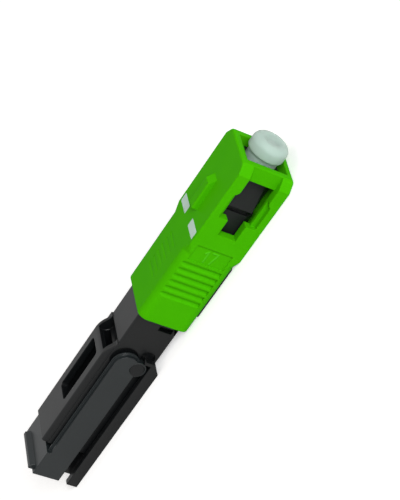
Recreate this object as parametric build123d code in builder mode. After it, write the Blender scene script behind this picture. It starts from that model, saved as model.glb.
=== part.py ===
from build123d import *
import os
from math import cos, radians, sin

# Field installable SC plug for one optical fibre. All sizes are in millimetres.
# The origin is the middle of the green housing's front face, on the fibre's axis.
# +X points forward, out of the ferrule's tip. +Z is the side that carries the key.
# The two window sides face -Y and +Y. Distances along the plug are counted back
# from the housing's front face.

# Clearances between pieces
slip = 0.10
press = 0.01
running = 0.05

# Green housing
shell_length = 25.86
shell_width = 8.99
shell_height = 7.39
shell_edge_radius = 0.2
shell_front_radius = 0.3
front_rounding_steps = 3
nose_length = 1.39
nose_width = 7.22
grip_start = 13.06
grip_blend = 1.34
grip_radius = 1.25
shell_travel = 1.5
passage_play = 0.35
nose_clearance = 0.15

# Key on the housing
key_start = 5.3
key_slope = 0.9
key_length = 5.0
key_width = 1.6
key_height = 0.75
key_edge_radius = 0.25

# T window in each side of the housing
bridge_length = 2.15
bridge_thickness = 0.9
window_neck_width = 4.2
window_neck_length = 3.5
window_blend = 1.1
window_width = 5.3
window_length = 7.9
slot_width = 2.6
slot_length = 10.35
window_corner = 0.3
window_ledge_depth = 0.7

# Ribs that a thumb grips
rib_groove_count = 6
rib_groove_pitch = 1.06
rib_groove_start = 15.95
rib_groove_radius = 0.45
rib_groove_depth = 0.25
rib_groove_low = -2.5
rib_groove_high = 3.3
hatch_radius = 0.7
hatch_depth = 0.04
hatch_width = 3.0

# Recessed panel in one side
panel_start = 12.7
panel_length = 2.5
panel_height = 5.1
panel_lift = 0.2
panel_depth = 0.15

# Plug frame
frame_start = 1.2
frame_nose_width = 4.9
frame_height = 5.5
frame_corner = 1.25
frame_shoulder = 7.4
frame_width = 5.8
frame_end = 17.2
frame_wall = 0.45
ramp_start = 2.9
ramp_end = 6.4
ramp_rise = 1.0
ramp_low = -1.5
ramp_high = 1.9
snap_start = 14.6
snap_length = 1.4
snap_width = 1.6
snap_height = 0.35

# Ferrule and what is fixed to it
ferrule_diameter = 2.5
ferrule_length = 10.5
ferrule_tip = 0.9
tip_chamfer = 0.35
polish_angle = 8.0
fibre_diameter = 0.125
fibre_bore_diameter = 0.16
cavity_diameter = 4.4
flange_start = 7.9
flange_diameter = 4.76
flange_thickness = 1.5
flange_chamfer = 0.15
stem_diameter = 3.04
stem_length = 1.2
chamber_diameter = 4.9
chamber_end = 13.3
holder_diameter = 3.5
holder_end = 18.0
ferrule_travel = 1.0

# Spring
wire_diameter = 0.35
spring_diameter = 4.1
spring_turns = 4.5
wire_sides = 6
seat_thickness = 0.4

# Splice
base_width = 2.5
base_thickness = 1.3
base_length = 12.4
groove_depth = 0.1
spigot_length = 1.2
lid_width = 2.4
lid_thickness = 0.87
lid_gap = 0.08
lid_joint = 24.1
lid_spacing = 0.2
clip_gap = 0.05
clip_sheet = 0.2
clip_start = 19.5
clip_length = 10.0
clip_mouth = 1.4
clip_slit = 0.3

# Dust cap
cap_head_diameter = 4.9
cap_head_start = -0.55
cap_end = -2.1
cap_dish = 0.3
cap_dish_diameter = 2.9
cap_rim_radius = 0.7
cap_rim_steps = 4
cap_back_chamfer = 0.12
cap_neck_diameter = 4.15
cap_sleeve_diameter = 4.05
cap_sleeve_end = 6.5
cap_bore_spare = 0.4

# Main body
body_neck_width = 5.7
body_neck_inset = 0.945
bar_start = 25.6
bar_inset = 1.36
bar_top_inset = 0.52
bar_bottom_inset = 0.595
bar_edge_radius = 0.35
bar_step_height = -2.6
bar_step_start = 26.3
bar_step_end = 27.2
corner_cut_height = 1.55
corner_cut_length = 2.4
corner_cut_width = 1.2
bar_end = 33.0
splice_chamber_width = 3.5
splice_chamber_height = 3.5
splice_chamber_spare = 0.8
rear_top = 4.15
rear_bottom = -2.8
rear_side_inset = 0.15
tier_height = 0.9
channel_width = 4.4
roof_thickness = 0.95
channel_start = 33.9
recess_start = 31.75
recess_floor = 2.2
recess_width = 4.6
crossbar_front = 33.7
crown_start = 34.6
rise_middle = 32.85
rise_middle_height = 3.625
window_start = 35.35
window_share = 0.588
window_wall_drop = 1.4
window_wall_thickness = 0.8
window_ledge_length = 1.9
window_ledge_width = 0.4
window_ledge_drop = 0.6
fibre_window_width = 3.2
fibre_window_corner = 0.5
side_hole_start = 27.0
side_hole_length = 0.8
side_hole_height = 2.0
side_hole_middle = -1.43
side_hole_depth = 0.9

# Pivot of the clamp lever
pivot_back = 34.15
pivot_height = -0.85
pin_diameter = 1.9
pin_slant = 12.0
pivot_ring = 0.2

# Clamp lever
arm_gap = 0.1
arm_thickness = 0.815
arm_top = 2.47
arm_rim = 0.25
arm_rim_thickness = 0.2
lever_end = 56.0
tail_length = 4.2
tail_overhang = 5.1
tail_top = 3.0
thumb_rise = 0.6
thumb_length = 1.0

# Base tray
tray_bottom = -3.7
tray_floor = 0.8
tray_overhang = 0.25
tray_wall = 0.8
tray_edge = -2.15
finger_tip_back = 31.95
finger_tip_height = -0.78
finger_drop = 0.45

# Cable clamp
cable_height = 2.0
cable_width = 3.1
tooth_pitch = 0.6
tooth_height = 0.3
gripper_setback = 4.0
gripper_length = 3.6
jaw_thickness = 0.25

# Lock slider under the green housing
slider_start = 14.6
slider_length = 8.9
slider_travel = 1.0
slider_plate_width = 7.8
slider_plate_share = 0.566
slider_stem_start = 19.9
slider_stem_length = 3.0
slider_stem_width = 2.4
slider_flange_width = 3.5
slider_flange_top = -2.1
slider_flange_thickness = 0.35
slider_rib_width = 1.0
slider_rib_top = -1.4

# Pocket around the lever's nose
pocket_back = 33.75
pocket_height = 1.2
pocket_radius = 1.87
pocket_depth = 0.3
scallop_back = 32.5
scallop_height = -1.65
scallop_radius = 0.95

# Fibre guide
guide_diameter = 3.0
guide_flange_width = 4.0
guide_flange_height = 3.4
guide_flange_thickness = 0.7
guide_mouth_diameter = 2.2
guide_bore_diameter = 0.64
funnel_taper = 45

sides = (-1, 1)
frame_front_x = -frame_start
flange_x = -flange_start
flange_back_x = flange_x - flange_thickness
chamber_end_x = -chamber_end
ferrule_tip_x = ferrule_tip
ferrule_back_x = ferrule_tip - ferrule_length
holder_end_x = -holder_end
base_end_x = holder_end_x - base_length
bar_width = shell_width - 2 * bar_inset
bar_half = bar_width / 2
half_width = shell_width / 2
half_height = shell_height / 2
bar_top = half_height - bar_top_inset
bar_bottom = bar_bottom_inset - half_height
body_neck_height = 2 * (half_height - body_neck_inset)
rear_end = lever_end - tail_overhang
window_end = window_start + window_share * (rear_end - window_start)
tail_start = lever_end - tail_length
gripper_start = lever_end - gripper_setback
arm_inner = bar_half + arm_gap
arm_outer = arm_inner + arm_thickness
tray_half_width = arm_outer + tray_overhang
mouth_depth = shell_length - bar_start + shell_travel + 2 * slip
splice_chamber_end = splice_chamber_spare + ferrule_travel - base_end_x
tail_bottom = cable_height / 2 + tooth_height + jaw_thickness
passage_height = frame_height + 2 * nose_clearance
neck_passage_height = body_neck_height + 2 * nose_clearance
slider_plate_thickness = slider_plate_share * (half_height - passage_height / 2)
slider_end = slider_start + slider_length
stem_end = slider_stem_start + slider_stem_length


def block(x_span, y_span, z_span, mode=Mode.ADD):
    """Add or cut a straight block, given its low and high limits along each axis."""
    size = [high - low for low, high in (x_span, y_span, z_span)]
    middle = [(high + low) / 2 for low, high in (x_span, y_span, z_span)]
    with Locations(tuple(middle)):
        Box(*size, mode=mode)


def rod(x_back, x_front, diameter, mode=Mode.ADD):
    """Add or cut a round rod that lies on the fibre's axis."""
    with BuildSketch(Plane.YZ.offset(x_back)) as section:
        Circle(diameter / 2)
    extrude(section.sketch, amount=x_front - x_back, mode=mode)


def keyed_section(x_position, width, height, corner):
    """Rectangle with its two lower corners cut off, across the plug."""
    half = width / 2
    rise = height / 2
    with BuildSketch(Plane.YZ.offset(x_position)) as section:
        Polygon(
            (-half, rise),
            (half, rise),
            (half, corner - rise),
            (half - corner, -rise),
            (corner - half, -rise),
            (-half, corner - rise),
            align=None,
        )
    return section.sketch


def rounded_section(x_position, width, height, radius):
    """Rounded rectangle across the plug."""
    with BuildSketch(Plane.YZ.offset(x_position)) as section:
        RectangleRounded(width, height, radius)
    return section.sketch


def side_profile(points, y_span, mode=Mode.ADD):
    """Add or cut a straight-edged outline, drawn along the plug and up, across y_span."""
    with BuildSketch(Plane.XZ.offset(-y_span[0])) as outline:
        Polygon(*points, align=None)
    extrude(outline.sketch, amount=y_span[0] - y_span[1], mode=mode)


# Green housing
def window_outline(plane):
    """The T window's outline, open at the front, drawn along the plug and up."""
    neck = window_neck_width / 2
    wide = window_width / 2
    slot = slot_width / 2
    with BuildSketch(plane) as outline:
        with BuildLine():
            front = Line((slip, 0), (slip, neck))
            throat = Line(front @ 1, (-window_neck_length, neck))
            flare_middle = (-window_neck_length - window_blend / 2, (neck + wide) / 2)
            flare = TangentArc(throat @ 1, flare_middle, tangent=(-1, 0))
            flare_end = (-window_neck_length - window_blend, wide)
            flare_out = TangentArc(flare_middle, flare_end, tangent=flare % 1)
            run = Line(flare_out @ 1, (-window_length + window_corner, wide))
            corner = RadiusArc(run @ 1, (-window_length, wide - window_corner), -window_corner)
            shoulder = Line(corner @ 1, (-window_length, slot))
            slot_side = Line(shoulder @ 1, (-slot_length, slot))
            Line(slot_side @ 1, (-slot_length, 0))
            mirror(about=Plane.XZ)
        make_face()
    return outline.sketch


passage_half = frame_width / 2 + passage_play
with BuildPart() as outer_shell:
    # The tapered nose, with its front edge rounded in a few steps
    nose_taper = (shell_width - nose_width) / nose_length
    nose_sections = []
    for step in range(front_rounding_steps + 1):
        turn = radians(90 * step / front_rounding_steps)
        back = shell_front_radius * (1 - cos(turn))
        inset = shell_front_radius * (1 - sin(turn))
        nose_section = rounded_section(
            -back,
            nose_width + nose_taper * back - 2 * inset,
            shell_height - 2 * inset,
            shell_edge_radius,
        )
        nose_sections.append(nose_section.face())
    nose_back = rounded_section(-nose_length, shell_width, shell_height, shell_edge_radius)
    loft([*nose_sections, nose_back.face()], ruled=True)
    extrude(nose_back, amount=nose_length - grip_start)
    grip_front = rounded_section(-grip_start, shell_width, shell_height, shell_edge_radius)
    grip_back = rounded_section(-grip_start - grip_blend, shell_width, shell_height, grip_radius)
    loft([grip_front.face(), grip_back.face()], ruled=True)
    extrude(grip_back, amount=grip_start + grip_blend - shell_length)
    # The key ridge, with a sloped front end
    key_back = key_start + key_length
    key_profile = (
        (-key_start, half_height - slip),
        (-key_start, half_height),
        (-key_start - key_slope, half_height + key_height),
        (-key_back, half_height + key_height),
        (-key_back, half_height - slip),
    )
    side_profile(key_profile, (-key_width / 2, key_width / 2))
    fillet(outer_shell.faces().sort_by(Axis.Z)[-1].edges().filter_by(Axis.X), key_edge_radius)
    # The passage for the plug frame and the body's neck, narrower through the front bridge
    passage_end = shell_length - mouth_depth
    bridge_inner = frame_nose_width / 2 + nose_clearance
    block(
        (-bridge_length - slip, slip),
        (-bridge_inner, bridge_inner),
        (-passage_height / 2, passage_height / 2),
        mode=Mode.SUBTRACT,
    )
    block(
        (-frame_end - slip, -bridge_length),
        (-passage_half, passage_half),
        (-passage_height / 2, passage_height / 2),
        mode=Mode.SUBTRACT,
    )
    block(
        (-passage_end, shell_travel - frame_end),
        (-passage_half, passage_half),
        (-neck_passage_height / 2, neck_passage_height / 2),
        mode=Mode.SUBTRACT,
    )
    # The rear mouth, which passes over the black bar
    rear_mouth = rounded_section(
        -shell_length, bar_width + 2 * slip, bar_top - bar_bottom + 2 * slip, bar_edge_radius + slip
    )
    extrude(rear_mouth, amount=mouth_depth, mode=Mode.SUBTRACT)
    # The T windows: a shallow outline on the surface, and a straight opening inside it
    bridge_outer = bridge_inner + bridge_thickness
    opening_depth = half_width - passage_half + slip
    for side in sides:
        ledge_plane = Plane.XZ.offset(-side * (half_width - window_ledge_depth))
        extrude(
            window_outline(ledge_plane),
            amount=-side * (window_ledge_depth + slip),
            mode=Mode.SUBTRACT,
        )
        bridge_low, bridge_high = sorted((side * bridge_outer, side * (half_width + slip)))
        block(
            (-bridge_length, slip),
            (bridge_low, bridge_high),
            (-window_neck_width / 2, window_neck_width / 2),
            Mode.SUBTRACT,
        )
        with BuildSketch(Plane.XZ.offset(-side * (passage_half - slip))) as opening:
            with Locations((-(bridge_length + window_length) / 2, 0)):
                Rectangle(window_length - bridge_length, window_neck_width)
            with Locations((-(bridge_length + slot_length) / 2, 0)):
                Rectangle(slot_length - bridge_length, slot_width)
        extrude(opening.sketch, amount=-side * (opening_depth + slip), mode=Mode.SUBTRACT)
    # Round-bottomed grooves between the ribs, and a faint hatch on the key side
    for number in range(rib_groove_count):
        middle = -(rib_groove_start + number * rib_groove_pitch)
        for side in sides:
            groove_axis = side * (half_width - rib_groove_depth + rib_groove_radius)
            with BuildSketch(Plane.XY.offset(rib_groove_low)) as groove:
                with Locations((middle, groove_axis)):
                    Circle(rib_groove_radius)
            extrude(groove.sketch, amount=rib_groove_high - rib_groove_low, mode=Mode.SUBTRACT)
        hatch_axis = half_height - hatch_depth + hatch_radius
        with BuildSketch(Plane.XZ.offset(-hatch_width / 2)) as hatch:
            with Locations((middle, hatch_axis)):
                Circle(hatch_radius)
        extrude(hatch.sketch, amount=hatch_width, mode=Mode.SUBTRACT)
    # The recessed panel on one side
    block(
        (-panel_start - panel_length, -panel_start),
        (-half_width - slip, -half_width + panel_depth),
        (panel_lift - panel_height / 2, panel_lift + panel_height / 2),
        Mode.SUBTRACT,
    )
    # Shallow bed for the lock slider's plate, and a slot for its stem
    slider_bed = slider_plate_thickness + running
    block(
        (-slider_end - slip, -slider_start + slider_travel + shell_travel + 2 * slip),
        (-slider_plate_width / 2 - slip, slider_plate_width / 2 + slip),
        (-half_height - slip, slider_bed - half_height),
        Mode.SUBTRACT,
    )
    block(
        (-stem_end - slip, -slider_stem_start + slider_travel + shell_travel + 2 * slip),
        (-slider_stem_width / 2 - slip, slider_stem_width / 2 + slip),
        (-half_height - slip, -passage_height / 2 + slip),
        Mode.SUBTRACT,
    )

# Black plug frame
wall_corner_loss = 2 - 2**0.5
socket_corner = frame_corner - frame_wall * wall_corner_loss
with BuildPart() as plug_frame:
    nose = keyed_section(frame_front_x, frame_nose_width, frame_height, frame_corner)
    extrude(nose, amount=frame_start - frame_shoulder)
    sleeve = keyed_section(-frame_shoulder, frame_width, frame_height, frame_corner)
    extrude(sleeve, amount=frame_shoulder - frame_end)
    # Latch ramps that the adapter's hooks climb
    for side in sides:
        root = side * (frame_nose_width / 2 - slip)
        crest = side * (frame_nose_width / 2 + ramp_rise)
        with BuildSketch(Plane.XY.offset(ramp_low)) as ramp:
            Polygon((-ramp_start, root), (-ramp_end, crest), (-ramp_end, root), align=None)
        extrude(ramp.sketch, amount=ramp_high - ramp_low)
    rod(flange_x, frame_front_x, cavity_diameter, Mode.SUBTRACT)
    rod(chamber_end_x, flange_x, chamber_diameter, Mode.SUBTRACT)
    socket = keyed_section(
        chamber_end_x, frame_width - 2 * frame_wall, frame_height - 2 * frame_wall, socket_corner
    )
    extrude(socket, amount=chamber_end - frame_end, mode=Mode.SUBTRACT)
    # Windows for the body's snap lugs
    block(
        (-snap_start - snap_length, -snap_start),
        (-snap_width / 2, snap_width / 2),
        (-frame_height / 2, frame_height / 2),
        Mode.SUBTRACT,
    )

# Ceramic ferrule with its angled end face
with BuildPart() as ferrule:
    rod(ferrule_back_x, ferrule_tip_x, ferrule_diameter)
    chamfer(ferrule.edges().sort_by(Axis.X)[-1], tip_chamfer)
    end_normal = (cos(radians(polish_angle)), 0, sin(radians(polish_angle)))
    split(bisect_by=Plane(origin=(ferrule_tip_x, 0, 0), z_dir=end_normal), keep=Keep.BOTTOM)
    rod(ferrule_back_x, ferrule_tip_x, fibre_bore_diameter, Mode.SUBTRACT)

# Metal flange pressed on the ferrule
ferrule_seat = ferrule_diameter + 2 * press
stem_end_x = flange_back_x - stem_length
with BuildPart() as ferrule_flange:
    rod(flange_back_x, flange_x, flange_diameter)
    rod(stem_end_x, flange_back_x, stem_diameter)
    rod(ferrule_back_x, flange_x, ferrule_seat, Mode.SUBTRACT)
    rod(stem_end_x, ferrule_back_x, ferrule_diameter / 2, Mode.SUBTRACT)
    chamfer(ferrule_flange.edges().filter_by(GeomType.CIRCLE).sort_by(SortBy.RADIUS)[-1], flange_chamfer)

# Plastic tube behind the flange
base_spigot_diameter = ferrule_diameter
with BuildPart() as ferrule_holder:
    rod(holder_end_x, flange_back_x, holder_diameter)
    rod(stem_end_x - press, flange_back_x, stem_diameter + 2 * press, Mode.SUBTRACT)
    rod(holder_end_x, stem_end_x, ferrule_diameter / 2, Mode.SUBTRACT)
    spigot_seat = base_spigot_diameter + 2 * press
    rod(holder_end_x, holder_end_x + spigot_length, spigot_seat, Mode.SUBTRACT)

# Stub fibre, from the ferrule's end face to the middle of the splice
with BuildPart() as stub_fibre:
    rod(-lid_joint, ferrule_tip_x - tip_chamfer, fibre_diameter)

# Splice base with the V groove on its lower face
with BuildPart() as splice_base:
    block((base_end_x, holder_end_x), (-base_width / 2, base_width / 2), (0, base_thickness))
    rod(holder_end_x, holder_end_x + spigot_length - press, base_spigot_diameter)
    rod(holder_end_x, holder_end_x + spigot_length, fibre_bore_diameter, Mode.SUBTRACT)
    with BuildSketch(Plane.YZ.offset(base_end_x)) as groove:
        Polygon((-groove_depth, 0), (0, groove_depth), (groove_depth, 0), align=None)
    extrude(groove.sketch, amount=base_length, mode=Mode.SUBTRACT)

# Two lids under the base
lid_top = -lid_gap
lid_bottom = lid_top - lid_thickness
lid_front_x = holder_end_x - 2 * lid_spacing
with BuildPart() as splice_lid_front:
    block(
        (-lid_joint + lid_spacing / 2, lid_front_x),
        (-lid_width / 2, lid_width / 2),
        (lid_bottom, lid_top),
    )
    chamfer(splice_lid_front.edges().filter_by(Axis.X).group_by(Axis.Z)[0], lid_spacing)
with BuildPart() as splice_lid_rear:
    block(
        (base_end_x + lid_spacing, -lid_joint - lid_spacing / 2),
        (-lid_width / 2, lid_width / 2),
        (lid_bottom, lid_top),
    )
    chamfer(splice_lid_rear.edges().filter_by(Axis.X).group_by(Axis.Z)[0], lid_spacing)
    chamfer(splice_lid_rear.edges().filter_by(Axis.Y).group_by(Axis.X)[0].sort_by(Axis.Z)[-1], lid_spacing)

# Sprung clip, open along the bottom and slit between the lids
clip_inner_half = base_width / 2 + clip_gap
clip_inner_top = base_thickness + clip_gap
clip_inner_bottom = lid_bottom - clip_gap
with BuildPart() as splice_clip:
    block(
        (-clip_start - clip_length, -clip_start),
        (-clip_inner_half - clip_sheet, clip_inner_half + clip_sheet),
        (clip_inner_bottom - clip_sheet, clip_inner_top + clip_sheet),
    )
    fillet(splice_clip.edges().filter_by(Axis.X), clip_sheet)
    block(
        (-clip_start - clip_length, -clip_start),
        (-clip_inner_half, clip_inner_half),
        (clip_inner_bottom, clip_inner_top),
        Mode.SUBTRACT,
    )
    block(
        (-clip_start - clip_length, -clip_start),
        (-clip_mouth / 2, clip_mouth / 2),
        (clip_inner_bottom - clip_sheet, clip_inner_bottom),
        Mode.SUBTRACT,
    )
    block(
        (-lid_joint - clip_slit / 2, -lid_joint + clip_slit / 2),
        (-clip_inner_half - clip_sheet, clip_inner_half + clip_sheet),
        (clip_inner_bottom - clip_sheet, clip_inner_top - clip_sheet),
        Mode.SUBTRACT,
    )

# Washer and spring behind the flange
seat_front_x = chamber_end_x + seat_thickness
with BuildPart() as spring_seat:
    rod(chamber_end_x, seat_front_x, chamber_diameter - 2 * slip)
    rod(chamber_end_x, seat_front_x, holder_diameter + 2 * slip, Mode.SUBTRACT)
spring_back_x = seat_front_x + wire_diameter / 2 + press
spring_front_x = flange_back_x - wire_diameter / 2 - press
spring_height = spring_front_x - spring_back_x
with BuildPart() as ferrule_spring:
    with BuildLine() as coil:
        Helix(
            spring_height / spring_turns,
            spring_height,
            spring_diameter / 2,
            center=(spring_back_x, 0, 0),
            direction=(1, 0, 0),
        )
    with BuildSketch(Plane(coil.line @ 0, z_dir=coil.line % 0)):
        RegularPolygon(wire_diameter / 2, wire_sides)
    sweep(is_frenet=True)

# Dust cap, with its rim rounded in a few steps
with BuildPart() as dust_cap:
    bore_radius = ferrule_diameter / 2 + running
    bore_end = ferrule_tip_x + cap_bore_spare
    head_radius = cap_head_diameter / 2
    dish_radius = cap_dish_diameter / 2
    rim_points = []
    for step in range(cap_rim_steps + 1):
        turn = radians(90 * step / cap_rim_steps)
        rim_x = -cap_end - cap_rim_radius * (1 - sin(turn))
        rim_points.append((rim_x, head_radius - cap_rim_radius * (1 - cos(turn))))
    with BuildSketch(Plane.XZ):
        Polygon(
            (-cap_sleeve_end, bore_radius),
            (-cap_sleeve_end, cap_sleeve_diameter / 2),
            (0, cap_sleeve_diameter / 2),
            (0, cap_neck_diameter / 2),
            (-cap_head_start, cap_neck_diameter / 2),
            (-cap_head_start, head_radius - cap_back_chamfer),
            (cap_back_chamfer - cap_head_start, head_radius),
            *rim_points,
            (-cap_end, dish_radius),
            (-cap_end - cap_dish, dish_radius - cap_dish / 2),
            (-cap_end - cap_dish, 0),
            (bore_end, 0),
            (bore_end, bore_radius),
            align=None,
        )
    revolve(axis=Axis.X)

# Black main body, with its rear window frame and the pivot pins
body_side = bar_half
tier_half = bar_half - rear_side_inset
channel_half = channel_width / 2
with BuildPart() as main_body:
    # Rear part, drawn as seen from the side
    with BuildSketch(Plane.XZ):
        with BuildLine():
            top_start = (-recess_start, bar_top)
            crown_end = (-crown_start, rear_top)
            crown = TangentArc(crown_end, (-rise_middle, rise_middle_height), tangent=(1, 0))
            TangentArc(crown @ 1, top_start, tangent=crown % 1)
            Line(crown_end, (-rear_end, rear_top))
            Line((-rear_end, rear_top), (-rear_end, rear_bottom))
            Line((-rear_end, rear_bottom), (-recess_start, rear_bottom))
            Line((-recess_start, rear_bottom), top_start)
        make_face()
    extrude(amount=tier_half, both=True)
    top_edges = main_body.faces().filter_by(Axis.Y).edges().filter_by_position(
        Axis.Z, bar_top - slip, rear_top + slip
    )
    fillet(top_edges, bar_edge_radius)
    block(
        (-rear_end, -recess_start),
        (-body_side, body_side),
        (rear_bottom, rear_top - tier_height),
    )
    # The bar that the green housing slides over
    bar = rounded_section(-bar_start, bar_width, bar_top - bar_bottom, bar_edge_radius)
    extrude(bar, amount=bar_start - bar_end)
    side_profile(
        (
            (-bar_start, bar_step_height),
            (-bar_step_start, bar_step_height),
            (-bar_step_end, bar_bottom),
            (-bar_start, bar_bottom),
        ),
        (-bar_half, bar_half),
        Mode.SUBTRACT,
    )
    for side in sides:
        corner_low, corner_high = sorted((side * bar_half, side * (bar_half - corner_cut_width)))
        side_profile(
            (
                (-bar_start, bar_bottom + corner_cut_height),
                (-bar_start - corner_cut_length, bar_bottom),
                (-bar_start, bar_bottom),
            ),
            (corner_low, corner_high),
            Mode.SUBTRACT,
        )
    # Neck inside the green housing, then the tongue in the plug frame
    neck = rounded_section(-frame_end - slip, body_neck_width, body_neck_height, bar_edge_radius)
    extrude(neck, amount=frame_end + slip - bar_start)
    tongue_wall = frame_wall + slip / 2
    tongue = keyed_section(
        chamber_end_x,
        frame_width - 2 * tongue_wall,
        frame_height - 2 * tongue_wall,
        frame_corner - tongue_wall * wall_corner_loss,
    )
    extrude(tongue, amount=chamber_end - frame_end - slip)
    tongue_half = frame_height / 2 - tongue_wall
    for side in sides:
        lug_low, lug_high = sorted((side * (tongue_half - slip), side * (tongue_half + snap_height)))
        block(
            (-snap_start - snap_length + slip, -snap_start - slip),
            (slip - snap_width / 2, snap_width / 2 - slip),
            (lug_low, lug_high),
        )
    # Bore for the ferrule's holder, then the chamber for the splice
    chamber_start_x = -clip_start + 2 * slip
    rod(chamber_start_x, chamber_end_x, holder_diameter + 2 * slip, Mode.SUBTRACT)
    block(
        (-splice_chamber_end, chamber_start_x),
        (-splice_chamber_width / 2, splice_chamber_width / 2),
        (-splice_chamber_height / 2, splice_chamber_height / 2),
        Mode.SUBTRACT,
    )
    rod(-channel_start, -splice_chamber_end, guide_diameter + 2 * press, Mode.SUBTRACT)
    # Channel for the cable's fibre, open below and behind
    block(
        (-rear_end, -channel_start),
        (-channel_half, channel_half),
        (rear_bottom, rear_top - roof_thickness),
        Mode.SUBTRACT,
    )
    # Window in the roof of the channel
    with BuildSketch(Plane.XY.offset(rear_top - roof_thickness)) as roof_window:
        with Locations((-(window_start + window_end) / 2, 0)):
            RectangleRounded(window_end - window_start, fibre_window_width, fibre_window_corner)
    extrude(roof_window.sketch, amount=2 * roof_thickness, mode=Mode.SUBTRACT)
    # Recess between the bar and the window's front crossbar, with a hollowed slope
    with BuildSketch(Plane.XZ.offset(-recess_width / 2)) as recess:
        with BuildLine():
            floor_end = (-channel_start + guide_flange_thickness, recess_floor)
            slope_end = (-crossbar_front, rear_top + slip)
            Line((-recess_start, recess_floor), floor_end)
            TangentArc(floor_end, slope_end, tangent=(-1, 0))
            Polyline(
                slope_end, (-recess_start, rear_top + slip), (-recess_start, recess_floor)
            )
        make_face()
    extrude(recess.sketch, amount=recess_width, mode=Mode.SUBTRACT)
    # Small square hole in each side of the bar
    for side in sides:
        hole_low, hole_high = sorted((side * bar_half, side * (bar_half - side_hole_depth)))
        block(
            (-side_hole_start - side_hole_length, -side_hole_start),
            (hole_low, hole_high),
            (side_hole_middle - side_hole_height / 2, side_hole_middle + side_hole_height / 2),
            Mode.SUBTRACT,
        )
    # Guide for the lock slider's stem in the underside of the neck
    stem_room = (-stem_end - slip, -slider_stem_start + slider_travel + slip)
    stem_half = slider_stem_width / 2 + slip
    flange_half = slider_flange_width / 2 + slip
    rib_half = slider_rib_width / 2 + slip
    flange_room_top = slider_flange_top + slip / 2
    flange_room_bottom = slider_flange_top - slider_flange_thickness - slip / 2
    neck_bottom = -body_neck_height / 2
    block(stem_room, (-stem_half, stem_half), (neck_bottom, flange_room_top), Mode.SUBTRACT)
    block(
        stem_room, (-flange_half, flange_half), (flange_room_bottom, flange_room_top), Mode.SUBTRACT
    )
    block(stem_room, (-rib_half, rib_half), (flange_room_bottom, -slip), Mode.SUBTRACT)
    # Round pockets in each side of the bar, for the lever's nose and the tray's finger
    for side in sides:
        pocket_plane = Plane.XZ.offset(-side * (body_side - pocket_depth))
        with BuildSketch(pocket_plane) as pocket:
            with Locations((-pocket_back, pocket_height)):
                Circle(pocket_radius)
            with Locations((-scallop_back, scallop_height)):
                Circle(scallop_radius)
        extrude(pocket.sketch, amount=-side * (pocket_depth + slip), mode=Mode.SUBTRACT)
    # Wall across the channel behind the window, and a small ledge in the window's corner
    window_wall_top = rear_top - roof_thickness
    block(
        (-window_end - window_wall_thickness, -window_end),
        (-channel_half - slip, channel_half + slip),
        (window_wall_top - window_wall_drop, window_wall_top + slip),
    )
    block(
        (-window_start - window_ledge_length, -window_start),
        (-fibre_window_width / 2, window_ledge_width - fibre_window_width / 2),
        (window_wall_top, rear_top - window_ledge_drop),
    )
    # Pivot pins with slanted ends
    for side in sides:
        pin_root = body_side - pocket_depth - slip
        with BuildSketch(Plane.XZ.offset(-side * pin_root)) as pin:
            with Locations((-pivot_back, pivot_height)):
                Circle(pin_diameter / 2)
        extrude(pin.sketch, amount=-side * (arm_outer - pin_root + pin_diameter / 2))
        cut_origin = (-pivot_back, side * arm_outer, pivot_height)
        cut_normal = (sin(radians(pin_slant)), side * cos(radians(pin_slant)), 0)
        with BuildSketch(Plane(origin=cut_origin, x_dir=(1, 0, 0), z_dir=cut_normal)) as cutter:
            Rectangle(2 * pin_diameter, 2 * pin_diameter)
        extrude(cutter.sketch, amount=pin_diameter, mode=Mode.SUBTRACT)

# Funnel that leads the fibre into the splice
guide_back_x = -channel_start - guide_flange_thickness
with BuildPart() as fibre_guide:
    rod(-channel_start, -splice_chamber_end, guide_diameter)
    block(
        (guide_back_x, -channel_start),
        (-guide_flange_width / 2, guide_flange_width / 2),
        (-guide_flange_height / 2, guide_flange_height / 2),
    )
    rod(guide_back_x, -splice_chamber_end, guide_bore_diameter, Mode.SUBTRACT)
    with BuildSketch(Plane.YZ.offset(guide_back_x)) as funnel:
        Circle(guide_mouth_diameter / 2)
    extrude(funnel.sketch, amount=guide_flange_thickness, taper=funnel_taper, mode=Mode.SUBTRACT)

# Lock slider: a plate under the housing, with a stem that reaches the splice
slider_plate_top = slider_plate_thickness - half_height
stem_span = (-stem_end, -slider_stem_start)
with BuildPart() as lock_slider:
    block(
        (-slider_end, -slider_start),
        (-slider_plate_width / 2, slider_plate_width / 2),
        (-half_height, slider_plate_top),
    )
    chamfer(lock_slider.edges().filter_by(Axis.Z), tooth_height)
    block(
        stem_span,
        (-slider_stem_width / 2, slider_stem_width / 2),
        (slider_plate_top - slip, slider_flange_top),
    )
    block(
        stem_span,
        (-slider_flange_width / 2, slider_flange_width / 2),
        (slider_flange_top - slider_flange_thickness, slider_flange_top),
    )
    block(
        stem_span,
        (-slider_rib_width / 2, slider_rib_width / 2),
        (slider_flange_top, slider_rib_top),
    )
    rib_front = lock_slider.edges().filter_by(Axis.Y).group_by(Axis.Z)[-1].sort_by(Axis.X)[-1]
    chamfer(rib_front, tooth_height)

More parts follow.
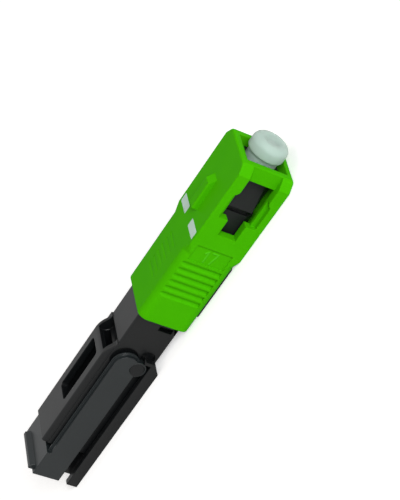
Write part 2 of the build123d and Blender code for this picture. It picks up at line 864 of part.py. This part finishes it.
# Base tray with a finger at the front of each wall
tray_inner = tray_half_width - tray_wall
tray_floor_top = tray_bottom + tray_floor
cable_rib_half = cable_width / 2 + slip
with BuildPart() as base_tray:
    finger_front = finger_tip_back + finger_drop
    finger_back = finger_front + finger_drop
    wall_outline = (
        (-lever_end, tray_bottom),
        (-finger_tip_back - 4 * finger_drop, tray_bottom),
        (-finger_front - 2 * finger_drop, tray_bottom + finger_drop),
        (-finger_front, finger_tip_height - 4 * finger_drop),
        (-finger_front, finger_tip_height - finger_drop),
        (-finger_tip_back, finger_tip_height),
        (-finger_back, finger_tip_height - finger_drop),
        (-finger_back, tray_edge),
        (-lever_end, tray_edge),
    )
    side_profile(wall_outline, (-tray_half_width, tray_half_width))
    block(
        (-rear_end - slip, 0),
        (-tray_inner, tray_inner),
        (tray_floor_top, -finger_tip_height),
        Mode.SUBTRACT,
    )
    block(
        (-lever_end, -rear_end - slip),
        (-tray_inner, tray_inner),
        (tray_floor_top, -finger_tip_height),
        Mode.SUBTRACT,
    )
    # Space for the bar over the tray's front end
    block(
        (-bar_end - slip, 0),
        (-tray_inner, tray_inner),
        (tray_bottom, 0),
        Mode.SUBTRACT,
    )
    # Two ribs that hold the cable sideways at the clamp
    for side in sides:
        rib_low, rib_high = sorted((side * cable_rib_half, side * (cable_rib_half + tray_wall / 2)))
        block(
            (-lever_end, -gripper_start + slip),
            (rib_low, rib_high),
            (tray_floor_top - slip, cable_height / 2),
        )


def toothed_outline(x_front, z_root, z_back, direction):
    """Side outline of a toothed block: teeth on z_root, flat on z_back."""
    count = int(gripper_length / tooth_pitch)
    points = [(x_front, z_back)]
    for number in range(count):
        start = x_front - number * tooth_pitch
        points.append((start, z_root))
        points.append((start - tooth_pitch / 2, z_root + direction * tooth_height))
    x_end = x_front - count * tooth_pitch
    points.append((x_end, z_root))
    points.append((x_end, z_back))
    return points


# Toothed block in the tray, below the cable
with BuildPart() as cable_gripper:
    grip_root = -cable_height / 2 - tooth_height
    gripper_points = toothed_outline(-gripper_start, grip_root, tray_floor_top, 1)
    side_profile(gripper_points, (-cable_width / 2, cable_width / 2))

# Clamp lever: two arms, joined by the tail plate
with BuildPart() as clamp_lever:
    arm_bottom = pivot_height - slip
    nose_radius = (arm_top - arm_bottom) / 2
    nose_middle = (-pivot_back - pivot_ring, (arm_top + arm_bottom) / 2)
    strip_length = lever_end + nose_middle[0]
    for side in sides:
        for rim, thickness in ((0, arm_thickness), (arm_rim, arm_rim_thickness)):
            with BuildSketch(Plane.XZ.offset(-side * arm_inner)) as arm:
                with Locations(nose_middle):
                    Circle(nose_radius + rim)
                with Locations((-pivot_back, pivot_height)):
                    Circle(pin_diameter / 2 + running + pivot_ring)
                with Locations((nose_middle[0] - strip_length / 2, nose_middle[1] + rim / 2)):
                    Rectangle(strip_length, 2 * nose_radius + rim)
                with Locations((-pivot_back, pivot_height)):
                    Circle(pin_diameter / 2 + running, mode=Mode.SUBTRACT)
            extrude(arm.sketch, amount=-side * thickness)
    block((-lever_end, -tail_start), (-arm_outer, arm_outer), (tail_bottom, tail_top))
    side_profile(
        (
            (-lever_end, tail_top - slip),
            (-lever_end, tail_top + thumb_rise),
            (-lever_end + thumb_length / 2, tail_top + thumb_rise),
            (-lever_end + thumb_length, tail_top - slip),
        ),
        (-arm_inner, arm_inner),
    )

# Toothed plate under the lever's tail
with BuildPart() as clamp_jaw:
    jaw_root = cable_height / 2 + tooth_height
    jaw_points = toothed_outline(-gripper_start, jaw_root, tail_bottom, -1)
    side_profile(jaw_points, (-cable_width / 2, cable_width / 2))

os.makedirs("parts", exist_ok=True)
for label, piece in (
    ("outer_shell", outer_shell),
    ("plug_frame", plug_frame),
    ("ferrule", ferrule),
    ("ferrule_flange", ferrule_flange),
    ("ferrule_holder", ferrule_holder),
    ("stub_fibre", stub_fibre),
    ("splice_base", splice_base),
    ("splice_lid_front", splice_lid_front),
    ("splice_lid_rear", splice_lid_rear),
    ("splice_clip", splice_clip),
    ("ferrule_spring", ferrule_spring),
    ("spring_seat", spring_seat),
    ("dust_cap", dust_cap),
    ("main_body", main_body),
    ("fibre_guide", fibre_guide),
    ("lock_slider", lock_slider),
    ("base_tray", base_tray),
    ("cable_gripper", cable_gripper),
    ("clamp_lever", clamp_lever),
    ("clamp_jaw", clamp_jaw),
):
    piece.part.label = label
    export_step(piece.part, f"parts/{label}.step")
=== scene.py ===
# %% [markdown]
# # A plug for one optical fibre, dressed for a studio photograph
# The plug's pieces come in from its engineering model and stay exactly where that model
# puts them. This script gives them their finishes, adds the printed marks and the moulded
# numerals, and sets up the table, the lamps and the camera. Sizes with no unit in their
# name are millimetres: x points forward out of the plug, with 0 at the housing's front
# face, and z points to the side with the key.

import math

import bmesh
import bpy
import numpy as np
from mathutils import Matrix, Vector


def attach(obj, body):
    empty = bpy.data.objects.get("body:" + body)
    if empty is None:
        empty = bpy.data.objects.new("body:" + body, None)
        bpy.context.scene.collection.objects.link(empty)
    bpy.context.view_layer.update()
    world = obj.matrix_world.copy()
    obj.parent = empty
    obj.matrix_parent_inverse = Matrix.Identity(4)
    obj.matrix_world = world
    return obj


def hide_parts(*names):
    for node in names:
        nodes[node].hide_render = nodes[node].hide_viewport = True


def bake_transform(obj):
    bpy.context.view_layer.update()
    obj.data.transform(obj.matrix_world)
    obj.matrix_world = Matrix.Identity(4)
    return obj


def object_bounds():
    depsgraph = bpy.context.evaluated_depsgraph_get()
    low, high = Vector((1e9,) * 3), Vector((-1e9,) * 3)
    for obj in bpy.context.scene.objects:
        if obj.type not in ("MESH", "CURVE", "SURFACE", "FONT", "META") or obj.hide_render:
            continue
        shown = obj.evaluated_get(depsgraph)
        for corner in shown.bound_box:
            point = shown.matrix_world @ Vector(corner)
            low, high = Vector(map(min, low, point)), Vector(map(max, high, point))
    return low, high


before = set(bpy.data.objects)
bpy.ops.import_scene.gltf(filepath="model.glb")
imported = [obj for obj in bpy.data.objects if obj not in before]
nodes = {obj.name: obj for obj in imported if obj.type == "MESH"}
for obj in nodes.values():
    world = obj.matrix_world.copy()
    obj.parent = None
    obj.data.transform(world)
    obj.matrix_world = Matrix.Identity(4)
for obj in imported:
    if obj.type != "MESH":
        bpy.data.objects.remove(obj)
cad_box = [list(corner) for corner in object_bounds()]
MM = 0.001
print("pieces in the frame:", len(nodes))

# %% [markdown]
# ## Two small helpers
# A material is a graph of nodes. Written link by link, it hides the idea behind it, so one
# class wraps a socket and lets the graph be written as a sum or a product. Python calls
# its methods for `+`, `-`, `*` and `/`, and each call adds one Math node.

# %% A socket that can be added and multiplied


class Signal:
    """One output socket. Arithmetic on it adds Math nodes to its graph."""

    def __init__(self, graph, socket):
        self.graph = graph
        self.socket = socket

    def _math(self, operation, first, second):
        return self.graph.node(
            "ShaderNodeMath", {"operation": operation}, {0: first, 1: second}
        )

    def __add__(self, other):
        return self._math("ADD", self, other)

    def __sub__(self, other):
        return self._math("SUBTRACT", self, other)

    def __mul__(self, other):
        return self._math("MULTIPLY", self, other)

    def __truediv__(self, other):
        return self._math("DIVIDE", self, other)

    def __rsub__(self, other):
        return self._math("SUBTRACT", other, self)

    def __rtruediv__(self, other):
        return self._math("DIVIDE", other, self)

    __radd__ = __add__
    __rmul__ = __mul__


# %% A graph of nodes, and the pieces that wear it


class Graph:
    """A material's or a world's node tree, with one method that makes any node."""

    def __init__(self, name, kind=bpy.data.materials, shader="Principled BSDF"):
        self.owner = kind.new(name)
        self.owner.use_nodes = True
        self.tree = self.owner.node_tree
        self.shader = self.tree.nodes[shader]

    def node(self, kind, settings, inputs, output=0):
        """Make a node, set its settings, then fill or link its sockets."""
        made = self.tree.nodes.new(kind)
        for key, value in settings.items():
            setattr(made, key, value)
        for key, value in inputs.items():
            self._fill(made.inputs[key], value)
        return Signal(self, made.outputs[output])

    def _fill(self, socket, value):
        if isinstance(value, Signal):
            self.tree.links.new(value.socket, socket)
        else:
            socket.default_value = value

    def mix(self, factor, first, second):
        """Blend two colours, each given as red, green and blue. A Mix node has sockets for
        every kind of value, and its colours are inputs 6 and 7 and output 2."""
        inputs = {0: factor, 6: (*first, 1.0), 7: (*second, 1.0)}
        return self.node("ShaderNodeMix", {"data_type": "RGBA"}, inputs, 2)

    def noise(self, size_mm, detail=3.0, roughness=0.55):
        """Noise whose lumps are about size_mm across, fixed to the object."""
        place = self.node("ShaderNodeTexCoord", {}, {}, "Object")
        scale = 1.0 / (size_mm * MM)
        inputs = {"Vector": place, "Scale": scale, "Detail": detail, "Roughness": roughness}
        return self.node("ShaderNodeTexNoise", {}, inputs)

    def feed(self, **values):
        """Link signals to the shader's sockets, or set them to plain values."""
        for key, value in values.items():
            self._fill(self.shader.inputs[key.replace("_", " ")], value)

    def bump(self, height, depth_mm, strength, edge_mm=0.09):
        """Bump from a height signal, with softly rounded edges under it."""
        bevel = self.node("ShaderNodeBevel", {"samples": 6}, {"Radius": edge_mm * MM})
        inputs = {"Height": height, "Distance": depth_mm * MM, "Strength": strength}
        self.feed(Normal=self.node("ShaderNodeBump", {}, {**inputs, "Normal": bevel}))


def coat(piece, graph):
    """Give a finish to one piece."""
    piece.data.materials.clear()
    piece.data.materials.append(graph.owner)
    print(graph.owner.name, "on", piece.name)


def dress(names, graph):
    """Give a finish to pieces of the frame."""
    for name in names:
        coat(nodes[name], graph)


# %% [markdown]
# ## Green housing plastic
# The housing is moulded in a saturated green plastic with a fine satin skin. Where the
# mould was polished less the skin scatters more, so the roughness wanders a little, and a
# very fine grain breaks up the highlight. A refractive index near 1 keeps the grazing
# reflections from washing out the green.

# %% Green plastic
green = Graph("green_plastic")
green_patches = green.noise(3.5, detail=2.0)
green_grain = green.noise(0.12, detail=4.0)
green_tone = green.mix(green_patches, (0.049, 0.385, 0.0006), (0.060, 0.430, 0.0012))
green.feed(Base_Color=green_tone, Roughness=0.36 + green_patches * 0.12)
green.feed(IOR=1.06, Specular_IOR_Level=0.5)
green.bump(green_grain, 0.004, 0.5, edge_mm=0.15)
dress(["outer_shell"], green)

# %% [markdown]
# ## Black plastics
# The body and the tray are a glossy black plastic. Nearly all the light that they send
# back is reflection, so their gloss and their edges matter more than their colour. The
# model's edges are sharp, and a moulded edge catches a thin bright line. A Bevel node
# rounds them in the shading alone, which costs no faces. Handling leaves lighter patches.

# %% Black plastic of the body and the tray
black = Graph("black_plastic")
black_patches = black.noise(4.0, detail=3.0)
black_grain = black.noise(0.10, detail=4.0)
black_tone = black.mix(black_patches, (0.0030, 0.0037, 0.0041), (0.0060, 0.0069, 0.0075))
black.feed(Base_Color=black_tone, Roughness=0.27 + black_patches * 0.14)
black.feed(IOR=1.5, Specular_IOR_Level=0.34)
black.bump(black_grain, 0.004, 0.4, edge_mm=0.14)
dress(["main_body", "base_tray", "lock_slider", "fibre_guide", "cable_gripper"], black)

# %% [markdown]
# The lever's black is painted a touch lighter and bluer than the body's. This is painted
# cool light: it stands in for the bluish light on its arms and sets them off from the
# shaded walls round them. The frame inside the housing is duller, because its slides are
# left with the mould's grain.

# %% Black plastics of the lever and the inner frame
lever_black_painted_cool_light = Graph("lever_black_painted_cool_light")
lever_patches = lever_black_painted_cool_light.noise(5.0, detail=3.0)
lever_grain = lever_black_painted_cool_light.noise(0.10, detail=4.0)
# Both tones are painted lighter and bluer than the body's: painted cool light on the lever's
# arms
lever_dark, lever_light = (0.0085, 0.0120, 0.0130), (0.0130, 0.0170, 0.0185)
lever_tone_painted_cool_light = lever_black_painted_cool_light.mix(lever_patches, lever_dark, lever_light)
lever_black_painted_cool_light.feed(Base_Color=lever_tone_painted_cool_light, Roughness=0.25 + lever_patches * 0.14)
lever_black_painted_cool_light.feed(IOR=1.5, Specular_IOR_Level=0.47)
lever_black_painted_cool_light.bump(lever_grain, 0.004, 0.4, edge_mm=0.14)
dress(["clamp_lever"], lever_black_painted_cool_light)

frame_black = Graph("frame_black")
frame_grain = frame_black.noise(0.15, detail=3.0)
frame_dark, frame_light = (0.0065, 0.0075, 0.0075), (0.0105, 0.0115, 0.0118)
frame_tone = frame_black.mix(frame_grain, frame_dark, frame_light)
frame_black.feed(Base_Color=frame_tone, Roughness=0.40 + frame_grain * 0.12)
frame_black.feed(IOR=1.5, Specular_IOR_Level=0.25)
frame_black.bump(frame_grain, 0.004, 0.5)
dress(["plug_frame"], frame_black)

# %% [markdown]
# ## Surfaces from grids
# A new piece here is a surface: a function of two parameters, worked out for a whole grid
# of them at once with numpy. The grid's rows and columns say which points share a face, so
# one helper turns any such grid into a mesh. Where a closed piece comes to a point, the
# grid has many points in one place, and a second helper merges them.

# %% A mesh from a grid of points


def surface(name, points, closed=False):
    """Mesh over a grid of points in millimetres: neighbours (i, j), (i+1, j), (i+1, j+1)
    and (i, j+1) share a face. In a closed grid the last column joins the first."""
    rows, columns = points.shape[:2]
    i, j = np.meshgrid(
        np.arange(rows - 1), np.arange(columns if closed else columns - 1), indexing="ij"
    )
    here, beside = i * columns, (j + 1) % columns
    corners = [here + j, here + columns + j, here + columns + beside, here + beside]
    faces = np.stack(corners, axis=-1).reshape(-1, 4)
    mesh = bpy.data.meshes.new(name)
    mesh.from_pydata((points.reshape(-1, 3) * MM).tolist(), [], faces.tolist())
    mesh.shade_smooth()
    piece = bpy.data.objects.new(name, mesh)
    bpy.context.scene.collection.objects.link(piece)
    print(name, "has", len(faces), "faces")
    return piece


def close_poles(piece, gap_mm=0.0005):
    """Merge the points that lie on each other at a pole, and face everything out."""
    shape = bmesh.new()
    shape.from_mesh(piece.data)
    bmesh.ops.remove_doubles(shape, verts=shape.verts, dist=gap_mm * MM)
    bmesh.ops.recalc_face_normals(shape, faces=shape.faces)
    shape.to_mesh(piece.data)
    shape.free()
    piece.data.shade_smooth()


# %% [markdown]
# ## Dust cap
# The cap is soft polyethylene, turned in shape: a fat head that fingers pull, a neck, and a
# sleeve round the ferrule. The engineering model rounds its rim in a few flat bands, which
# is enough to collide with and too coarse to look at, so a smooth cap takes its place. A
# lathe is the natural tool for a round piece. Here it is two arrays: the outline of half a
# slice, and the angles that carry it round the fibre's axis.

# %% Tools of a lathe


def arc(middle_x, middle_r, radius, first, last, count):
    """Points (x, r) at angles first to last, in degrees, round a middle: x grows with the
    cosine of the angle and r with its sine."""
    angle = np.radians(np.linspace(first, last, count))
    x = middle_x + radius * np.cos(angle)
    r = middle_r + radius * np.sin(angle)
    return np.stack((x, r), axis=-1)


def lathe(name, outline, around=112):
    """Carry each outline point (x, r) round the x axis: at angle a it lies at
    (x, r cos a, r sin a)."""
    angle = np.linspace(0, 2 * np.pi, around, endpoint=False)
    x = np.broadcast_to(outline[:, :1], (len(outline), around))
    radius = outline[:, 1:]
    points = np.stack((x, radius * np.cos(angle), radius * np.sin(angle)), axis=-1)
    piece = surface(name, points, closed=True)
    close_poles(piece)
    return piece


# %% The cap's outline
cap_front = 2.4
cap_radius = 2.47
cap_rim = 0.95
cap_back = 0.3
cap_back_round = 0.27
cap_collar_radius = 2.2
cap_collar_back = -0.15
cap_neck_radius = 2.12
cap_neck_back = -4.0
cap_sleeve_radius = 2.025
cap_sleeve_back = -6.5
cap_sleeve_round = 0.1
cap_bore_radius = 1.3
cap_bore_front = 1.3
dish_inner = 0.5
dish_radius = 1.45
dish_depth = 0.4

# Across the end face, x dips by dish_depth inside dish_inner, and by none beyond dish_radius:
# between them it climbs by the smooth step 3 t^2 - 2 t^3 of the way t
face_r = np.linspace(0, cap_radius - cap_rim, 33)
way = np.clip((face_r - dish_inner) / (dish_radius - dish_inner), 0, 1)
dip = dish_depth * (1 - 3 * way**2 + 2 * way**3)
end_face = np.stack((cap_front - dip, face_r), axis=-1)

rim = arc(cap_front - cap_rim, cap_radius - cap_rim, cap_rim, 0, 90, 17)
back_edge = arc(
    cap_back + cap_back_round, cap_radius - cap_back_round, cap_back_round, 90, 180, 7
)
neck = [
    (cap_back, cap_collar_radius),
    (cap_collar_back, cap_neck_radius),
    (cap_neck_back, cap_neck_radius),
]
sleeve_edge = arc(
    cap_sleeve_back + cap_sleeve_round,
    cap_sleeve_radius - cap_sleeve_round,
    cap_sleeve_round,
    90,
    180,
    5,
)
bore = [
    (cap_sleeve_back, cap_bore_radius),
    (cap_bore_front, cap_bore_radius),
    (cap_bore_front, 0),
]
cap_outline = np.concatenate((end_face, rim[1:], back_edge, neck, sleeve_edge, bore))
smooth_cap = lathe("smooth_dust_cap", cap_outline)

# %% [markdown]
# Polyethylene is milky: light enters, scatters and comes out beside where it went in. The
# shader's subsurface part does that, with a reach of about two millimetres, which lights
# the neck from inside and softens the dish in the end face.

# %% Milky polyethylene
milky = Graph("milky_polyethylene")
milky_patches = milky.noise(1.6, detail=2.0)
milky_tone = milky.mix(milky_patches, (0.345, 0.445, 0.40), (0.40, 0.505, 0.455))
milky.feed(Base_Color=milky_tone, Roughness=0.38 + milky_patches * 0.12)
milky.feed(Subsurface_Weight=1.0, Subsurface_Scale=2.0 * MM, IOR=1.5, Specular_IOR_Level=0.2)
milky.feed(Subsurface_Radius=(0.9, 1.0, 0.95))
milky.bump(milky_patches, 0.01, 0.4)
coat(smooth_cap, milky)
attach(smooth_cap, "cap")
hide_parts("dust_cap")

# %% [markdown]
# ## Ceramic, metal, glass and pale plastic
# These are hidden at rest and show when the cap is off or the lever is up. The ferrule is
# polished zirconia, the clip and spring are bright steel, and the splice is pale plastic.
# A fine noise in each roughness keeps the reflections from looking computed.

# %% Inner finishes
ceramic = Graph("zirconia")
ceramic_patches = ceramic.noise(0.8)
ceramic_tone = ceramic.mix(ceramic_patches, (0.80, 0.80, 0.77), (0.86, 0.86, 0.84))
ceramic.feed(Base_Color=ceramic_tone, Roughness=0.12 + ceramic_patches * 0.06)
dress(["ferrule"], ceramic)

steel = Graph("bright_steel")
steel_grain = steel.noise(0.2)
steel_tone = steel.mix(steel_grain, (0.58, 0.57, 0.55), (0.70, 0.69, 0.67))
steel.feed(Base_Color=steel_tone, Roughness=0.22 + steel_grain * 0.12)
steel.feed(Metallic=1.0)
steel.bump(steel_grain, 0.003, 0.4)
dress(["ferrule_flange", "splice_clip", "ferrule_spring", "spring_seat", "clamp_jaw"], steel)

pale = Graph("pale_plastic")
pale_patches = pale.noise(1.5)
pale_tone = pale.mix(pale_patches, (0.55, 0.55, 0.52), (0.65, 0.65, 0.62))
pale.feed(Base_Color=pale_tone, Roughness=0.42 + pale_patches * 0.1)
dress(["ferrule_holder", "splice_base", "splice_lid_front", "splice_lid_rear"], pale)

glass = Graph("fibre_glass")
glass_clouds = glass.noise(2.0)
glass_tone = glass.mix(glass_clouds, (0.85, 0.90, 0.92), (0.92, 0.95, 0.96))
glass.feed(Base_Color=glass_tone, Roughness=0.05 + glass_clouds * 0.02)
glass.feed(Transmission_Weight=0.6, IOR=1.46)
dress(["stub_fibre"], glass)

# %% [markdown]
# ## Spring behind the ferrule
# The ferrule is sprung, so it can give way by a millimetre when two plugs meet. In the
# model the coil is one stiff piece. Here it is wound again as a round wire with closed end
# turns, between the body and the ferrule's group. A tube along a path is again a grid: the
# way along the coil, and the angle round the wire.

# %% A round wire wound into a coil


def coil(name, back, front, radius, wire_radius, turns, around=12, along=420):
    """At turn u the wire's middle is (x(u), -radius sin(2 pi u), radius cos(2 pi u)). The
    climb x'(u) rises by a smooth step from a closed turn's to an open turn's and falls
    again. The section's two axes are the outward direction, and that crossed with the
    path's tangent."""
    # The end turns lie side by side, a little more than the wire's width apart
    closed_turns, opening_turns, closed_climb = 0.7, 0.6, 2.3 * wire_radius
    u = np.linspace(0, turns, along)
    inward = np.clip((np.minimum(u, turns - u) - closed_turns) / opening_turns, 0, 1)
    opening = inward**2 * (3 - 2 * inward)
    # Between two points the wire climbs by the mean of their openings
    opening = (opening[1:] + opening[:-1]) / 2
    step = turns / (along - 1)
    open_climb = (front - back - closed_climb * turns) / (opening * step).sum()
    climb = (closed_climb + open_climb * opening) * step
    x = back + np.concatenate(([0.0], np.cumsum(climb)))
    angle, flat = 2 * np.pi * u, np.zeros(along)
    outward = np.stack((flat, -np.sin(angle), np.cos(angle)), axis=-1)
    path = radius * outward + np.stack((x, flat, flat), axis=-1)
    tangent = np.gradient(path, axis=0)
    tangent /= np.linalg.norm(tangent, axis=1)[:, None]
    sideways = np.cross(tangent, outward)
    turn = np.linspace(0, 2 * np.pi, around, endpoint=False)[None, :, None]
    # The first and last rings shrink to the wire's middle and close it
    section = np.concatenate(([0.0], np.full(along - 2, wire_radius), [0.0]))[:, None, None]
    rings = section * (np.cos(turn) * outward[:, None] + np.sin(turn) * sideways[:, None])
    piece = surface(name, path[:, None] + rings, closed=True)
    close_poles(piece)
    return piece


spring_back, spring_front = -12.715, -9.585
coil_radius = 2.05
coil_wire_radius = 0.165
coil_turns = 4.5
spring = coil(
    "round_wire_spring", spring_back, spring_front, coil_radius, coil_wire_radius, coil_turns
)
coat(spring, steel)
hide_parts("ferrule_spring")
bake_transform(spring)

# %% [markdown]
# ## Printed marks
# Two white bars are printed on the key side, behind the key. Ink has almost no thickness,
# but a flat copy lying exactly on the plastic would flicker, so each bar is a slightly
# crowned sheet that stands a hundredth of a millimetre proud. Its outline is a
# superellipse, which is a rectangle whose corners are rounded by its exponent.

# %% A crowned sheet with rounded corners


def crowned_sheet(name, middle, half_size, lift, exponent=14.0, across=29):
    """Point (u, v) of a square grid from -1 to 1 is moved to the rounded rectangle by
    dividing by the superellipse norm (|u|^n + |v|^n)^(1/n) times the square's own norm
    max(|u|, |v|), then scaled by half_size. The height is lift times 1 - (that radius)^8."""
    line = np.linspace(-1.0, 1.0, across)
    u, v = np.meshgrid(line, line, indexing="ij")
    square = np.maximum(np.abs(u), np.abs(v))
    rounded = (np.abs(u) ** exponent + np.abs(v) ** exponent) ** (1.0 / exponent)
    shrink = square / np.maximum(rounded, 1e-9)
    x = middle[0] + half_size[0] * u * shrink
    y = middle[1] + half_size[1] * v * shrink
    z = middle[2] + lift * (1.0 - square**8)
    return surface(name, np.stack((x, y, z), axis=-1))


# %% Two bars of white ink
ink = Graph("white_ink")
ink_wear = ink.noise(0.5)
ink_tone = ink.mix(ink_wear, (0.45, 0.61, 0.52), (0.53, 0.68, 0.61))
ink.feed(Base_Color=ink_tone, Roughness=0.45 + ink_wear * 0.15)
ink.bump(ink_wear, 0.004, 0.5)

key_side = 3.695
mark_middle = -11.94
mark_half_length = 0.65
mark_inner = 1.19
mark_outer = 3.98
mark_lift = 0.012
for side, word in ((-1, "near"), (1, "far")):
    mark = crowned_sheet(
        f"mark_{word}",
        (mark_middle, side * (mark_inner + mark_outer) / 2, key_side),
        (mark_half_length, (mark_outer - mark_inner) / 2),
        mark_lift,
    )
    coat(mark, ink)
    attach(mark, "housing")

# %% [markdown]
# ## Moulded numerals
# The shallow panel behind the T window carries a plain two-figure number, as a mould leaves
# it. Raised figures could be a text object, but then their edges are sharp steps. A height
# field is closer to a mould: every grid point is lifted by how near it lies to a stroke.

# %% A sheet with raised strokes


def raised_strokes(name, strokes, half_size, place, lift, stroke_radius, sheet_lift, step=0.03):
    """Over a grid in the panel's plane, d is the distance to the nearest stroke, which is
    the length of p - a - t(b - a), with t the dot product of p - a and b - a over the
    length of b - a squared, held from 0 to 1. The height is lift times the smooth step of
    1 - d / stroke_radius, plus sheet_lift times 1 - 2 e^12, where e goes from 0 in the
    sheet's middle to 1 at its edge, so that the edge dips under the panel."""
    across = np.arange(-half_size[0], half_size[0] + step, step)
    up = np.arange(-half_size[1], half_size[1] + step, step)
    a_grid, b_grid = np.meshgrid(across, up, indexing="ij")
    grid = np.stack((a_grid, b_grid), axis=-1)[:, :, None, :]
    start, end = np.array(strokes)[:, 0], np.array(strokes)[:, 1]
    run = end - start
    t = np.clip(((grid - start) * run).sum(-1) / (run**2).sum(-1), 0, 1)
    distance = np.linalg.norm(grid - start - t[..., None] * run, axis=-1).min(-1)
    near = np.clip(1 - distance / stroke_radius, 0, 1)
    edge = np.maximum(np.abs(a_grid) / half_size[0], np.abs(b_grid) / half_size[1])
    height = lift * near**2 * (3 - 2 * near) + sheet_lift * (1 - 2 * edge**12)
    points = np.stack((place[0] + b_grid, place[1] - height, place[2] - a_grid), axis=-1)
    return surface(name, points)


# %% The figures one and seven
panel_y = -4.345
panel_middle = (-14.05, panel_y, 0.25)
panel_sheet_half = (1.35, 1.12)
panel_sheet_lift = 0.006
figure_lift = 0.08
figure_height = 1.7
figure_gap = 0.98
stroke_radius = 0.2
flag_reach, flag_drop = 0.34, 0.36
bar_half, foot_back = 0.36, 0.08
top, bottom = figure_height / 2, -figure_height / 2
one, seven = -figure_gap / 2, figure_gap / 2
figure_strokes = [
    ((one, bottom), (one, top)),
    ((one, top), (one - flag_reach, top - flag_drop)),
    ((seven - bar_half, top), (seven + bar_half, top)),
    ((seven + bar_half, top), (seven - foot_back, bottom)),
]
numerals = raised_strokes(
    "panel_numerals",
    figure_strokes,
    panel_sheet_half,
    panel_middle,
    figure_lift,
    stroke_radius,
    panel_sheet_lift,
)

# %% [markdown]
# The tops of the raised figures catch more light than the panel, and that highlight is
# painted: they are a little lighter than the panel. The finish finds them by height: it reads
# how far a point stands out of the panel and goes from the panel's green to the lighter one on
# the way up.

# %% Green plastic with a painted highlight on the raised figures
figures = Graph("green_figures_painted_highlight")
figure_patches = figures.noise(3.5, detail=2.0)
spot = figures.node("ShaderNodeTexCoord", {}, {}, "Object")
spot_y = figures.node("ShaderNodeSeparateXYZ", {}, {"Vector": spot}, "Y")
stands_out = (panel_y * MM - spot_y) / (figure_lift * MM)
rise = {"Value": stands_out, "From Min": 0.3, "From Max": 0.8}
painted_highlight_mask = figures.node("ShaderNodeMapRange", {}, rise)
# The raised tops are painted lighter: a painted highlight for the light that the strokes catch
figure_tone_painted_highlight = figures.mix(painted_highlight_mask, (0.055, 0.408, 0.0009), (0.070, 0.458, 0.010))
figures.feed(Base_Color=figure_tone_painted_highlight, Roughness=0.36 + figure_patches * 0.12)
figures.feed(IOR=1.06, Specular_IOR_Level=0.5)
coat(numerals, figures)
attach(numerals, "housing")

# %% [markdown]
# ## Table
# The plug lies on a pale table. The photograph's background is pure white, so the table
# glows a little, but only for the camera, which Light Path tells apart. Where the plug
# blocks the lamps the glow alone is left, and that is the soft shadow. Far from the plug
# the lamps reach the table less, so there it glows more. Sizes from here on are metres.

# %% White table
table_size = 3.0
table_gap = 0.00002
table_height = cad_box[0][2] - table_gap
bpy.ops.mesh.primitive_plane_add(size=table_size, location=(0, 0, table_height))
table = bpy.context.object
table.name = "table"
paper = Graph("white_table")
paper.feed(Base_Color=(0.90, 0.90, 0.90, 1.0), Roughness=0.9, Specular_IOR_Level=0.0)
seen = paper.node("ShaderNodeLightPath", {}, {}, "Is Camera Ray")
table_spot = paper.node("ShaderNodeTexCoord", {}, {}, "Object")
reach = paper.node("ShaderNodeVectorMath", {"operation": "LENGTH"}, {0: table_spot}, "Value")
fade = {"Value": reach, "From Min": 0.12, "From Max": 0.45}
beyond = paper.node("ShaderNodeMapRange", {}, fade)
glow = paper.mix(beyond, (0.42, 0.42, 0.42), (0.90, 0.90, 0.90))
paper.feed(Emission_Color=glow, Emission_Strength=seen)
coat(table, paper)
print("table lies at z =", round(table_height / MM, 3), "mm")

# %% [markdown]
# ## Lamps and world
# Two large square lamps light the plug, because a large lamp gives the soft edges of a
# studio's light. One hangs overhead and is a little warm. The other stands low in front,
# on the side that the camera sees. The world fills the shadows. It is white to the camera,
# a little less in reflections, and much less as light on the plug.

# %% Two soft lamps


def soft_lamp(name, place, target, width, watts, colour):
    """Square area lamp at place, facing target."""
    data = bpy.data.lights.new(name, "AREA")
    data.shape = "SQUARE"
    data.size = width
    data.energy = watts
    data.color = colour
    lamp = bpy.data.objects.new(name, data)
    bpy.context.scene.collection.objects.link(lamp)
    lamp.location = place
    direction = Vector(target) - Vector(place)
    lamp.rotation_euler = direction.to_track_quat("-Z", "Y").to_euler()
    print(name, "stands", round(direction.length, 2), "metres away")


plug_middle = (-0.02, 0.0, 0.0)
warm_white, white = (1.0, 0.91, 0.83), (1.0, 1.0, 1.0)
soft_lamp("overhead", (0.02, 0.02, 0.60), plug_middle, 0.45, 0.70, warm_white)
soft_lamp("window_side", (0.40, -0.385, 0.21), plug_middle, 0.35, 3.45, white)

# %% White world
as_reflection, as_light = 0.74, 0.35
studio = Graph("studio", bpy.data.worlds, "Background")
bpy.context.scene.world = studio.owner
seen_directly = studio.node("ShaderNodeLightPath", {}, {}, "Is Camera Ray")
scattered = studio.node("ShaderNodeLightPath", {}, {}, "Is Diffuse Ray")
studio.feed(Color=(*white, 1.0))
studio.feed(
    Strength=as_reflection
    + seen_directly * (1.0 - as_reflection)
    - scattered * (as_reflection - as_light)
)
print("world's strength is", as_reflection, "in reflections and", as_light, "as light")

# %% [markdown]
# ## Camera
# A long lens from far away keeps a small thing's edges nearly parallel, as the photograph
# does. Its place, turn and length are those at which the housing's corners fall where the
# photograph shows them.

# %% Camera
camera_data = bpy.data.cameras.new("camera")
camera_data.sensor_fit = "HORIZONTAL"
camera_data.sensor_width = 36.0
camera_data.lens = 169.5
camera_data.clip_start = 0.01
camera = bpy.data.objects.new("camera", camera_data)
bpy.context.scene.collection.objects.link(camera)
camera.location = (0.09904, -0.18076, 0.10297)
camera.rotation_euler = [math.radians(a) for a in (35.143, 57.894, -17.773)]
bpy.context.scene.camera = camera
distance = (camera.location - Vector(plug_middle)).length
print("camera stands", round(distance, 3), "metres away")

bpy.context.scene.view_settings.view_transform = "Standard"
